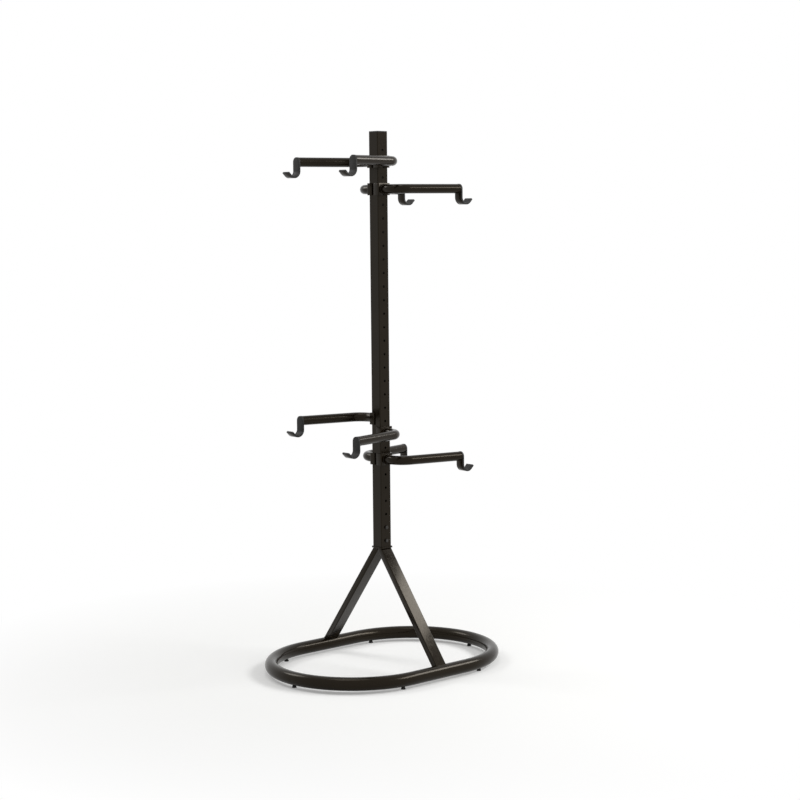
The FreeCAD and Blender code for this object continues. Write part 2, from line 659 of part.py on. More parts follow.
def build_arm_tube(label, side):
    body = new_body(label)
    turn = math.radians(cell("arm_turn"))
    start = value_of(SADDLE_FRONT)
    straight = cell("arm_straight")
    radius = cell("arm_bend")
    bend_x = straight + radius * math.sin(turn)
    bend_y = radius - radius * math.cos(turn)
    spare = 1.5 * cell("strap_thick")
    run = (cell("hook_y") + spare - bend_y) / math.sin(turn)
    far = FreeCAD.Vector(bend_x + run * math.cos(turn), side * (bend_y + run * math.sin(turn)), 0)
    near = FreeCAD.Vector(straight, 0, 0)
    knee = FreeCAD.Vector(bend_x, side * bend_y, 0)
    path = add_sketch(body, label + "_path", "XY_Plane")
    path.addGeometry(Part.LineSegment(FreeCAD.Vector(start, 0, 0), near), False)
    circle = Part.Circle(FreeCAD.Vector(straight, side * radius, 0), FreeCAD.Vector(0, 0, 1), radius)
    if side > 0:
        path.addGeometry(Part.ArcOfCircle(circle, -math.pi / 2, -math.pi / 2 + turn), False)
    else:
        path.addGeometry(Part.ArcOfCircle(circle, math.pi / 2 - turn, math.pi / 2), False)
    path.addGeometry(Part.LineSegment(knee, far), False)
    first, last = (1, 2) if side > 0 else (2, 1)
    path.addConstraint(Sketcher.Constraint("Tangent", 0, 2, 1, first))
    path.addConstraint(Sketcher.Constraint("Tangent", 1, last, 2, 1))
    path.addConstraint(Sketcher.Constraint("PointOnObject", 0, 1, -1))
    fix_point(path, 0, 2, ("Sizes.arm_straight", "0"))
    bound = path.addConstraint(Sketcher.Constraint("DistanceX", -1, 1, 0, 1, start))
    path.setExpression("Constraints[%d]" % bound, SADDLE_FRONT)
    bound = path.addConstraint(Sketcher.Constraint("Radius", 1, radius))
    path.setExpression("Constraints[%d]" % bound, "Sizes.arm_bend")
    fix_point(path, 2, 2, ("Sizes.hook_x + 1.5 * Sizes.strap_thick / tan(Sizes.arm_turn * 1 deg)",
                           "%d * (Sizes.hook_y + 1.5 * Sizes.strap_thick)" % side))
    profile = add_sketch(body, label + "_profile", "YZ_Plane", shift=SADDLE_FRONT)
    add_circle(profile, ("0", "0"), "Sizes.arm_tube")
    add_circle(profile, ("0", "0"), "Sizes.arm_tube - 2 * Sizes.arm_wall")
    pipe = body.newObject("PartDesign::AdditivePipe", label + "_pipe")
    pipe.Profile = profile
    pipe.Spine = path
    trim = add_sketch(body, label + "_trim", "XY_Plane")
    back = "%d * (Sizes.hook_y - Sizes.strap_thick / 2)" % side
    beyond = "%d * (Sizes.hook_y + Sizes.arm_tube)" % side
    left = "Sizes.hook_x - Sizes.arm_tube"
    right = "Sizes.hook_x + Sizes.arm_tube"
    add_polygon(trim, [(left, back), (right, back), (right, beyond), (left, beyond)])
    add_pocket(body, label + "_square_end", trim, both_ways=True)
    return body


def add_hook_outline(sketch, side, back, inner, top, tip):
    """Side view of the strap: upright, curl under, short lip.

    back and inner are the upright's two faces; both curl arcs share one centre. tip is
    the length of the straight lip after the curl.
    """
    hub_y = "Sizes.hook_y + Sizes.strap_thick / 2 + Sizes.curl_radius"
    hub_z = "-Sizes.strap_drop + Sizes.strap_thick + Sizes.curl_radius"
    rise = "Sizes.curl_rise * 1 deg"
    y0 = value_of(hub_y)
    z0 = value_of(hub_z)
    outer_r = y0 - value_of(back)
    inner_r = y0 - value_of(inner)
    up = math.radians(cell("curl_rise"))
    lip = value_of(tip)
    upper = value_of(top)

    def spot(radius, along):
        y = y0 + radius * math.sin(up) + along * math.cos(up)
        z = z0 - radius * math.cos(up) + along * math.sin(up)
        return FreeCAD.Vector(side * y, z, 0)

    def arc(radius):
        circle = Part.Circle(FreeCAD.Vector(side * y0, z0, 0), FreeCAD.Vector(0, 0, 1), radius)
        if side > 0:
            return Part.ArcOfCircle(circle, math.pi, math.pi * 1.5 + up)
        return Part.ArcOfCircle(circle, math.pi * 1.5 - up, math.pi * 2)

    outer_top = FreeCAD.Vector(side * (y0 - outer_r), upper, 0)
    outer_low = FreeCAD.Vector(side * (y0 - outer_r), z0, 0)
    inner_top = FreeCAD.Vector(side * (y0 - inner_r), upper, 0)
    inner_low = FreeCAD.Vector(side * (y0 - inner_r), z0, 0)
    sketch.addGeometry(Part.LineSegment(outer_top, outer_low), False)
    sketch.addGeometry(arc(outer_r), False)
    sketch.addGeometry(Part.LineSegment(spot(outer_r, 0), spot(outer_r, lip)), False)
    sketch.addGeometry(Part.LineSegment(spot(outer_r, lip), spot(inner_r, lip)), False)
    sketch.addGeometry(Part.LineSegment(spot(inner_r, lip), spot(inner_r, 0)), False)
    sketch.addGeometry(arc(inner_r), False)
    sketch.addGeometry(Part.LineSegment(inner_low, inner_top), False)
    sketch.addGeometry(Part.LineSegment(inner_top, outer_top), False)
    begin, end = (1, 2) if side > 0 else (2, 1)
    sketch.addConstraint(Sketcher.Constraint("Tangent", 0, 2, 1, begin))
    sketch.addConstraint(Sketcher.Constraint("Tangent", 1, end, 2, 1))
    sketch.addConstraint(Sketcher.Constraint("Coincident", 2, 2, 3, 1))
    sketch.addConstraint(Sketcher.Constraint("Coincident", 3, 2, 4, 1))
    sketch.addConstraint(Sketcher.Constraint("Tangent", 4, 2, 5, end))
    sketch.addConstraint(Sketcher.Constraint("Tangent", 5, begin, 6, 1))
    sketch.addConstraint(Sketcher.Constraint("Coincident", 6, 2, 7, 1))
    sketch.addConstraint(Sketcher.Constraint("Coincident", 7, 2, 0, 1))
    sketch.addConstraint(Sketcher.Constraint("Coincident", 1, 3, 5, 3))
    sketch.addConstraint(Sketcher.Constraint("Vertical", 0))
    sketch.addConstraint(Sketcher.Constraint("Horizontal", 7))
    sketch.addConstraint(Sketcher.Constraint("Perpendicular", 2, 3))
    fix_point(sketch, 1, 3, ("%d * (%s)" % (side, hub_y), hub_z))
    for index, formula in ((1, "%s - (%s)" % (hub_y, back)), (5, "%s - (%s)" % (hub_y, inner))):
        bound = sketch.addConstraint(Sketcher.Constraint("Radius", index, value_of(formula)))
        sketch.setExpression("Constraints[%d]" % bound, formula)
    bound = sketch.addConstraint(Sketcher.Constraint("DistanceY", -1, 1, 0, 1, upper))
    sketch.setExpression("Constraints[%d]" % bound, top)
    bound = sketch.addConstraint(Sketcher.Constraint("Distance", 2, lip))
    sketch.setExpression("Constraints[%d]" % bound, tip)
    heel = spot(outer_r, 0)
    formula = "%s - (%s) * cos(%s)" % (hub_z, "%s - (%s)" % (hub_y, back), rise)
    bound = sketch.addConstraint(Sketcher.Constraint("DistanceY", -1, 1, 2, 1, heel.y))
    sketch.setExpression("Constraints[%d]" % bound, formula)


def round_top(body, label, radius):
    """Trim the upright's top to a half circle about the tube's axis."""
    size = value_of(radius)
    sketch = add_sketch(body, label + "_top", "XZ_Plane")
    middle = cell("hook_x")
    high = size + cell("pad_rim")
    out = size + cell("pad_rim")
    circle = Part.Circle(FreeCAD.Vector(middle, 0, 0), FreeCAD.Vector(0, 0, 1), size)
    sketch.addGeometry(Part.ArcOfCircle(circle, 0, math.pi), False)
    corners = [(middle - size, 0), (middle - out, 0), (middle - out, high), (middle + out, high),
               (middle + out, 0), (middle + size, 0)]
    for a, b in zip(corners, corners[1:]):
        sketch.addGeometry(Part.LineSegment(FreeCAD.Vector(*a, 0), FreeCAD.Vector(*b, 0)), False)
    for step in range(5):
        sketch.addConstraint(Sketcher.Constraint("Coincident", step, 2, step + 1, 1))
    sketch.addConstraint(Sketcher.Constraint("Coincident", 5, 2, 0, 1))
    for step in (1, 3, 5):
        sketch.addConstraint(Sketcher.Constraint("Horizontal", step))
    for step in (2, 4):
        sketch.addConstraint(Sketcher.Constraint("Vertical", step))
    fix_point(sketch, 0, 3, ("Sizes.hook_x", "0"))
    sketch.addConstraint(Sketcher.Constraint("PointOnObject", 0, 1, -1))
    sketch.addConstraint(Sketcher.Constraint("PointOnObject", 0, 2, -1))
    bound = sketch.addConstraint(Sketcher.Constraint("Radius", 0, size))
    sketch.setExpression("Constraints[%d]" % bound, radius)
    for kind, vertex, formula in (("DistanceX", (2, 1), "Sizes.hook_x - (%s) - Sizes.pad_rim" % radius),
                                  ("DistanceX", (3, 2), "Sizes.hook_x + (%s) + Sizes.pad_rim" % radius),
                                  ("DistanceY", (2, 2), "(%s) + Sizes.pad_rim" % radius)):
        bound = sketch.addConstraint(
            Sketcher.Constraint(kind, -1, 1, vertex[0], vertex[1], value_of(formula)))
        sketch.setExpression("Constraints[%d]" % bound, formula)
    add_pocket(body, label + "_round_top", sketch, both_ways=True)


STRAP_BACK = "Sizes.hook_y - Sizes.strap_thick / 2"
STRAP_FACE = "Sizes.hook_y + Sizes.strap_thick / 2"


def build_strap(label, side):
    body = new_body(label)
    outline = add_sketch(body, label + "_outline", "YZ_Plane", shift="Sizes.hook_x")
    add_hook_outline(outline, side, STRAP_BACK, STRAP_FACE, "Sizes.strap_width / 2", "Sizes.lip_length")
    add_pad(body, label + "_bent", outline, "Sizes.strap_width", both_ways=True)
    round_top(body, label, "Sizes.strap_width / 2")
    return body


def build_pad(label, side, strap):
    """Lining over the strap's hollow side that also wraps its edges and its tip."""
    blank = doc.addObject("PartDesign::Body", label + "_blank")
    outline = add_sketch(blank, label + "_outline", "YZ_Plane", shift="Sizes.hook_x")
    width = "Sizes.strap_width + 2 * Sizes.pad_rim"
    add_hook_outline(outline, side, STRAP_BACK, STRAP_FACE + " + Sizes.pad_thick",
                     "Sizes.strap_width / 2 + Sizes.pad_rim", "Sizes.lip_length + Sizes.pad_rim")
    add_pad(blank, label + "_moulded", outline, width, both_ways=True)
    round_top(blank, label, "Sizes.strap_width / 2 + Sizes.pad_rim")
    lining = take_away(label, blank, strap)
    lining.Label = label
    nodes[label] = lining
    return lining


ARMS = [
    ("lower_front_left", -1, -1, 20),
    ("lower_front_right", 1, -1, 21),
    ("lower_rear_right", 1, 1, 23),
    ("lower_rear_left", -1, 1, 23),
    ("upper_front_left", -1, -1, 1),
    ("upper_front_right", 1, -1, 1),
    ("upper_rear_right", 1, 1, 3),
    ("upper_rear_left", -1, 1, 3),
]

inserts = []
studs = []
for place_name, across, along, hole in ARMS:
    level = "%s - %d * Sizes.hole_pitch" % (TOP_HOLE, hole)
    height = level + " + Sizes.stud_drop"
    turn = "0" if across > 0 else "180"
    side = across * along
    saddle = build_saddle("saddle_" + place_name)
    tube = build_arm_tube("arm_tube_" + place_name, side)
    strap = build_strap("hook_strap_" + place_name, side)
    pad = build_pad("hook_pad_" + place_name, side, strap)
    for piece in (saddle, tube, strap):
        place(piece, up=height, turn=turn)
    place(pad.Base, up=height, turn=turn)
    insert = build_insert("insert_" + place_name, across)
    stud = build_stud("stud_" + place_name, across)
    for piece in (insert, stud):
        piece.setExpression("Placement.Base.z", level)
    inserts.append(insert)
    studs.append(stud)
group("stud_inserts", inserts)
group("hook_studs", studs)

doc.recompute()

# Nothing is written until every object is sound.
for item in doc.Objects:
    if "Invalid" in item.State or "Error" in item.State:
        raise RuntimeError("%s did not build" % item.Label)
for label, item in nodes.items():
    if item.Shape.isNull() or not item.Shape.isValid() or not item.Shape.Solids:
        raise RuntimeError("%s has no sound shape" % label)

os.makedirs("parts", exist_ok=True)
for label, item in nodes.items():
    item.Shape.exportStep("parts/%s.step" % label)
print("%d sub-parts written" % len(nodes))
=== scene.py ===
"""Looks of a free-standing two tier bike rack.

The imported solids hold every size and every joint. This script dresses them: it eases the
cut and folded edges, lays the weld beads, models the bolts, gives each piece its finish
and stands the rack on a pale floor under soft light.
"""

import json
import logging
import math
from dataclasses import dataclass
from enum import Enum
from typing import Callable, Sequence

import bpy
from mathutils import Matrix, Vector

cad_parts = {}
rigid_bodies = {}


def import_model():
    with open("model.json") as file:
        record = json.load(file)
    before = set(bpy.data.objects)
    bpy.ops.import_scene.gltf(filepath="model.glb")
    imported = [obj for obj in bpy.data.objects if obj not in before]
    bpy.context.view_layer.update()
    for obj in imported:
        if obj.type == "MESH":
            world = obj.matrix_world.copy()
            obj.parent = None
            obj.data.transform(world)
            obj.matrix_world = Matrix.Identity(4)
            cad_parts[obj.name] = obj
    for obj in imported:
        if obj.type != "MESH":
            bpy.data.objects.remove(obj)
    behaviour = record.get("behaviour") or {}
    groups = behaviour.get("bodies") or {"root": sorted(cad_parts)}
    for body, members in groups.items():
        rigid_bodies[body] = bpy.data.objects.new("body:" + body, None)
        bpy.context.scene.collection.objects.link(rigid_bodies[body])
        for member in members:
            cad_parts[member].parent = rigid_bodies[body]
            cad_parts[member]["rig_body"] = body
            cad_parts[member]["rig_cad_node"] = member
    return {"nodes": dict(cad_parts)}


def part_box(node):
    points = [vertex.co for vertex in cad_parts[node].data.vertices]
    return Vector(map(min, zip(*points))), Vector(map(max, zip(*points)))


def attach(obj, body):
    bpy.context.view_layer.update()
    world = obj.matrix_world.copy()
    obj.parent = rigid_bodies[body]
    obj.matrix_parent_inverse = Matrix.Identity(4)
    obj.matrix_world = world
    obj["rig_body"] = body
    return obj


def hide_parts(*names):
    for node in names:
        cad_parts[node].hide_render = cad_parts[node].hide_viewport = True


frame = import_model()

LOG = logging.getLogger("bike_rack")

QUARTER_TURN = math.radians(90.0)
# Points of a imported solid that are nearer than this, in metres, are one point.
SAME_POINT = 2e-6
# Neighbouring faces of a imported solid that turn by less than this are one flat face.
FLAT = math.radians(0.5)
# Tubes and folded sheet have no edge under this many degrees that needs easing.
FORMED_SHARP_DEG = 50.0
WHITE = (1.0, 1.0, 1.0, 1.0)

Colour = tuple[float, float, float]
Test = Callable[[Vector], bool]


# Tools of the bench: selecting, adding and finishing a mesh.


def clear_selection() -> None:
    """Leave edit mode and deselect everything."""
    if bpy.context.mode != "OBJECT":
        bpy.ops.object.mode_set(mode="OBJECT")
    bpy.ops.object.select_all(action="DESELECT")


def pick(*pieces: bpy.types.Object) -> bpy.types.Object:
    """Select some pieces alone and make the first of them active.

    Args:
        pieces: The pieces to select, in object mode.

    Returns:
        The active piece.
    """
    clear_selection()
    for piece in pieces:
        piece.select_set(True)
    bpy.context.view_layer.objects.active = pieces[0]
    return pieces[0]


def select_points(piece: bpy.types.Object, test: Test) -> None:
    """Go to edit mode with only the points selected that pass a test.

    Args:
        piece: The piece whose mesh is edited.
        test: Says of a point's place whether it is wanted.
    """
    pick(piece)
    bpy.ops.object.mode_set(mode="EDIT")
    bpy.ops.mesh.select_mode(type="VERT")
    bpy.ops.mesh.select_all(action="DESELECT")
    bpy.ops.object.mode_set(mode="OBJECT")
    for point in piece.data.vertices:
        point.select = test(point.co)
    bpy.ops.object.mode_set(mode="EDIT")


def call(piece: bpy.types.Object, name: str) -> bpy.types.Object:
    """Give a piece and its mesh one name, and hand the piece back."""
    piece.name = name
    piece.data.name = name
    return piece


def settle(piece: bpy.types.Object, name: str) -> bpy.types.Object:
    """Move a piece's place into its mesh, so that the object sits at the origin.

    Args:
        piece: The piece that was added at its size and place.
        name: The name it keeps.

    Returns:
        The same piece.
    """
    pick(piece)
    bpy.ops.object.transform_apply(location=True, rotation=True, scale=True)
    return call(piece, name)


def apply_modifiers(piece: bpy.types.Object) -> None:
    """Apply a piece's modifiers in their order."""
    pick(piece)
    for modifier in list(piece.modifiers):
        bpy.ops.object.modifier_apply(modifier=modifier.name)


def smooth(piece: bpy.types.Object, limit_deg: float) -> None:
    """Shade a piece smooth, with creases over an angle in degrees."""
    pick(piece)
    bpy.ops.object.shade_smooth_by_angle(angle=math.radians(limit_deg))


def merge(pieces: Sequence[bpy.types.Object], name: str) -> bpy.types.Object:
    """Join pieces into one object.

    Args:
        pieces: The pieces to join.
        name: The name of the joined piece.

    Returns:
        The joined piece.
    """
    piece = pick(*pieces)
    if len(pieces) > 1:
        bpy.ops.object.join()
    return call(piece, name)


def copy_node(node: str, name: str) -> bpy.types.Object:
    """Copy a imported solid's mesh into a piece of its own and close it.

    Args:
        node: The solid's name.
        name: The name of the copy.

    Returns:
        The copy, with its loose triangles merged and its flat faces whole.
    """
    pick(frame["nodes"][node])
    bpy.ops.object.duplicate(linked=False)
    piece = bpy.context.active_object
    piece.parent = None
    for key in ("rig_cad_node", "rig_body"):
        if key in piece:
            del piece[key]
    call(piece, name)
    bpy.ops.mesh.customdata_custom_splitnormals_clear()
    bpy.ops.object.mode_set(mode="EDIT")
    bpy.ops.mesh.select_all(action="SELECT")
    bpy.ops.mesh.remove_doubles(threshold=SAME_POINT)
    bpy.ops.mesh.dissolve_limited(angle_limit=FLAT)
    bpy.ops.object.mode_set(mode="OBJECT")
    return piece


# Finishes.


class ShaderBench:
    """Lays out the nodes of one material around its main shader."""

    def __init__(self, name: str) -> None:
        """Start an empty material with a main shader and an output."""
        self.material = bpy.data.materials.new(name)
        self.material.use_nodes = True
        self.tree = self.material.node_tree
        self.shader = self.tree.nodes["Principled BSDF"]
        self.column = 0

    def add(self, kind: str, **values: object) -> bpy.types.Node:
        """Add a node.

        Args:
            kind: Blender's name of the node type.
            values: Settings of the node, and values of its inputs under their names
                with underscores for blanks.

        Returns:
            The new node.
        """
        node = self.tree.nodes.new(kind)
        self.column += 1
        node.location = (-180 * self.column, -60 * (self.column % 5))
        for key, value in values.items():
            if hasattr(node, key):
                setattr(node, key, value)
            else:
                node.inputs[key.replace("_", " ")].default_value = value
        return node

    def wire(self, source: bpy.types.NodeSocket, target: bpy.types.NodeSocket) -> None:
        """Link an output to an input."""
        self.tree.links.new(source, target)

    def feed(self, name: str, source: bpy.types.NodeSocket) -> None:
        """Link an output to an input of the main shader."""
        self.wire(source, self.shader.inputs[name])

    def fix(self, name: str, value: float | tuple[float, ...]) -> None:
        """Set an input of the main shader to a plain value."""
        self.shader.inputs[name].default_value = value

    def noise(self, scale: float, detail: float, roughness: float = 0.5) -> bpy.types.NodeSocket:
        """Add a noise that is fixed to the piece.

        Args:
            scale: Grains for each metre.
            detail: How many finer layers it has.
            roughness: How strong the finer layers are.

        Returns:
            The noise's value.
        """
        place = self.add("ShaderNodeTexCoord")
        grain = self.add("ShaderNodeTexNoise", Scale=scale, Detail=detail, Roughness=roughness)
        self.wire(place.outputs["Object"], grain.inputs["Vector"])
        return grain.outputs["Fac"]

    def ramp(self, source: bpy.types.NodeSocket, low: float, high: float,
             start: float, end: float) -> bpy.types.NodeSocket:
        """Map one range of values onto another.

        Args:
            source: The value to map.
            low: The start of its range.
            high: The end of its range.
            start: What low becomes.
            end: What high becomes.

        Returns:
            The mapped value.
        """
        mapping = self.add("ShaderNodeMapRange", From_Min=low, From_Max=high,
                           To_Min=start, To_Max=end)
        self.wire(source, mapping.inputs["Value"])
        return mapping.outputs["Result"]

    def blend(self, factor: bpy.types.NodeSocket, first: Colour,
              second: Colour) -> bpy.types.NodeSocket:
        """Mix two colours by a factor.

        Args:
            factor: 0 gives the first colour, 1 the second.
            first: A linear colour.
            second: A linear colour.

        Returns:
            The mixed colour.
        """
        mix = self.add("ShaderNodeMix", data_type="RGBA")
        mix.inputs[6].default_value = (*first, 1.0)
        mix.inputs[7].default_value = (*second, 1.0)
        self.wire(factor, mix.inputs[0])
        return mix.outputs[2]

    def bump(self, height: bpy.types.NodeSocket, depth: float, strength: float) -> None:
        """Give the shader a relief of a depth in metres, over any that it has."""
        relief = self.add("ShaderNodeBump", Distance=depth, Strength=strength)
        self.wire(height, relief.inputs["Height"])
        target = self.shader.inputs["Normal"]
        if target.is_linked:
            self.wire(target.links[0].from_socket, relief.inputs["Normal"])
        self.wire(relief.outputs["Normal"], target)


@dataclass(frozen=True)
class PowderCoat:
    """Baked powder paint: a warm black with fine orange peel, faint dust and rub marks.

    Attributes:
        name: The material's name.
        colour: The paint's own colour.
        worn: Its colour where it is rubbed or dusty.
        roughness: Its middle roughness.
        peel: Grains of orange peel for each metre.
        peel_depth: Their depth in metres.
        sheen: Strength of its reflections.
        sheen_tint: Their colour.
    """

    name: str
    colour: Colour = (0.0060, 0.0036, 0.0014)
    worn: Colour = (0.0105, 0.0072, 0.0040)
    roughness: float = 0.16
    peel: float = 420.0
    peel_depth: float = 0.000025
    sheen: float = 0.18
    sheen_tint: Colour = (1.0, 0.88, 0.70)

    def make(self) -> bpy.types.Material:
        """Build the paint's material."""
        bench = ShaderBench(self.name)
        cloud = bench.noise(9.0, 4.0)
        rubbed = bench.noise(140.0, 6.0, 0.65)
        tone = bench.ramp(cloud, 0.35, 0.70, 0.0, 0.55)
        bench.feed("Base Color", bench.blend(tone, self.colour, self.worn))
        gloss = bench.ramp(rubbed, 0.35, 0.65, self.roughness - 0.04, self.roughness + 0.08)
        bench.feed("Roughness", gloss)
        bench.bump(bench.noise(self.peel, 2.0), self.peel_depth, 0.55)
        bench.fix("Specular IOR Level", self.sheen)
        bench.fix("Specular Tint", (*self.sheen_tint, 1.0))
        return bench.material


@dataclass(frozen=True)
class MouldedRubber:
    """Matt black rubber with a fine moulded grain and a little bloom.

    Attributes:
        name: The material's name.
        colour: The rubber's own colour.
        bloom: Its colour where it is dusty.
        roughness: Its middle roughness.
        grain: Grains for each metre.
        sheen: Strength of its reflections.
    """

    name: str
    colour: Colour = (0.0085, 0.0080, 0.0074)
    bloom: Colour = (0.0260, 0.0250, 0.0232)
    roughness: float = 0.66
    grain: float = 1500.0
    sheen: float = 0.3

    def make(self) -> bpy.types.Material:
        """Build the rubber's material."""
        bench = ShaderBench(self.name)
        cloud = bench.noise(45.0, 5.0, 0.6)
        tone = bench.ramp(cloud, 0.42, 0.75, 0.0, 0.6)
        bench.feed("Base Color", bench.blend(tone, self.colour, self.bloom))
        gloss = bench.ramp(cloud, 0.3, 0.7, self.roughness - 0.06, self.roughness + 0.1)
        bench.feed("Roughness", gloss)
        bench.bump(bench.noise(self.grain, 2.0), 0.00012, 0.7)
        bench.fix("Specular IOR Level", self.sheen)
        return bench.material


@dataclass(frozen=True)
class MouldedCap:
    """Black moulded plastic with an even spark texture.

    Attributes:
        name: The material's name.
        colour: The plastic's own colour.
        scuffed: How much lighter it is where it is scuffed.
        roughness: Its middle roughness.
        sheen: Strength of its reflections.
    """

    name: str
    colour: Colour = (0.0100, 0.0093, 0.0084)
    scuffed: float = 1.7
    roughness: float = 0.5
    sheen: float = 0.3

    def make(self) -> bpy.types.Material:
        """Build the plastic's material."""
        bench = ShaderBench(self.name)
        spark = bench.noise(2200.0, 3.0, 0.7)
        red, green, blue = self.colour
        lighter = (red * self.scuffed, green * self.scuffed, blue * self.scuffed)
        tone = bench.ramp(bench.noise(60.0, 4.0), 0.4, 0.7, 0.0, 0.7)
        bench.feed("Base Color", bench.blend(tone, self.colour, lighter))
        gloss = bench.ramp(spark, 0.3, 0.7, self.roughness - 0.06, self.roughness + 0.08)
        bench.feed("Roughness", gloss)
        bench.bump(spark, 0.00008, 0.6)
        bench.fix("Specular IOR Level", self.sheen)
        return bench.material


@dataclass(frozen=True)
class DarkZinc:
    """Dark passivated zinc on turned and rolled steel.

    Attributes:
        name: The material's name.
        colour: The plating's darker colour.
        bright: Its lighter colour, in patches.
        roughness: Its middle roughness.
    """

    name: str
    colour: Colour = (0.045, 0.043, 0.040)
    bright: Colour = (0.11, 0.107, 0.10)
    roughness: float = 0.34

    def make(self) -> bpy.types.Material:
        """Build the plated metal's material."""
        bench = ShaderBench(self.name)
        patch = bench.noise(320.0, 6.0, 0.6)
        tone = bench.ramp(patch, 0.45, 0.72, 0.0, 0.7)
        bench.feed("Base Color", bench.blend(tone, self.colour, self.bright))
        gloss = bench.ramp(patch, 0.3, 0.7, self.roughness - 0.08, self.roughness + 0.14)
        bench.feed("Roughness", gloss)
        bench.bump(bench.noise(2600.0, 2.0), 0.00005, 0.5)
        bench.fix("Metallic", 1.0)
        return bench.material


class Finish(Enum):
    """The rack's finishes, each under a short name."""

    BLACK_COAT = "black_coat"
    HOOK_LINING = "hook_lining"
    RUBBER_FOOT = "rubber_foot"
    CAP_PLASTIC = "cap_plastic"
    ZINC = "zinc"


RECIPES = {
    Finish.BLACK_COAT: PowderCoat("black_powder_coat"),
    Finish.HOOK_LINING: MouldedRubber("hook_lining_rubber", grain=1300.0, roughness=0.6),
    Finish.RUBBER_FOOT: MouldedRubber("foot_rubber"),
    Finish.CAP_PLASTIC: MouldedCap("cap_plastic"),
    Finish.ZINC: DarkZinc("dark_zinc"),
}


class PaintShop:
    """Makes each finish once and puts it on pieces."""

    def __init__(self) -> None:
        """Start with no material made."""
        self.made: dict[Finish, bpy.types.Material] = {}

    def coat(self, piece: bpy.types.Object, finish: Finish) -> None:
        """Give a piece one finish all over.

        Args:
            piece: A solid of the frame or a new piece.
            finish: The finish it gets.
        """
        if finish not in self.made:
            self.made[finish] = RECIPES[finish].make()
        piece.data.materials.clear()
        piece.data.materials.append(self.made[finish])

    def coat_nodes(self, names: Sequence[str], finish: Finish) -> None:
        """Give solids of the frame one finish."""
        for name in names:
            self.coat(frame["nodes"][name], finish)


# Where things are.


class Body(Enum):
    """The stand, which carries the arms."""

    STAND = "stand"


class ArmSpot(Enum):
    """The eight arms, each with the sides of the mast that it reaches out on."""

    LOWER_FRONT_LEFT = ("lower_front_left", -1, -1)
    LOWER_FRONT_RIGHT = ("lower_front_right", 1, -1)
    LOWER_REAR_RIGHT = ("lower_rear_right", 1, 1)
    LOWER_REAR_LEFT = ("lower_rear_left", -1, 1)
    UPPER_FRONT_LEFT = ("upper_front_left", -1, -1)
    UPPER_FRONT_RIGHT = ("upper_front_right", 1, -1)
    UPPER_REAR_RIGHT = ("upper_rear_right", 1, 1)
    UPPER_REAR_LEFT = ("upper_rear_left", -1, 1)

    @property
    def words(self) -> str:
        """The arm's name as the solids' names end in it."""
        return self.value[0]

    @property
    def body(self) -> str:
        """The body that the arm's pieces move with."""
        return "arm_" + self.value[0]

    def mirror(self, point: Vector) -> Vector:
        """Carry a point of the right rear arm over to this arm's side of the mast."""
        return Vector((self.value[1] * point.x, self.value[2] * point.y, point.z))

    def level(self) -> float:
        """Height of the arm tube's axis."""
        low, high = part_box("arm_tube_" + self.words)
        return (low.z + high.z) / 2


@dataclass
class EasedSolid:
    """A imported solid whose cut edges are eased, as tumbling and paint leave them.

    Attributes:
        node: The solid that it stands for.
        finish: Its finish.
        body: The body that it moves with.
        ease: Width of the eased edge in metres.
        steps: Faces across the eased edge.
        sharp_deg: Edges that turn by less than this stay as they are.
        crease_deg: Edges that turn by less than this are shaded smooth.
    """

    node: str
    finish: Finish
    body: str
    ease: float = 0.0006
    steps: int = 2
    sharp_deg: float = 40.0
    crease_deg: float = 30.0

    def build(self, paint: PaintShop) -> bpy.types.Object:
        """Copy the solid, ease its edges and put it in the solid's place.

        Args:
            paint: Where the finish comes from.

        Returns:
            The new piece.
        """
        piece = copy_node(self.node, self.node + "_eased")
        bevel = piece.modifiers.new("eased_edges", "BEVEL")
        bevel.width = self.ease
        bevel.segments = self.steps
        bevel.limit_method = "ANGLE"
        bevel.angle_limit = math.radians(self.sharp_deg)
        bevel.harden_normals = False
        apply_modifiers(piece)
        smooth(piece, self.crease_deg)
        paint.coat(piece, self.finish)
        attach(piece, self.body)
        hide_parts(self.node)
        return piece


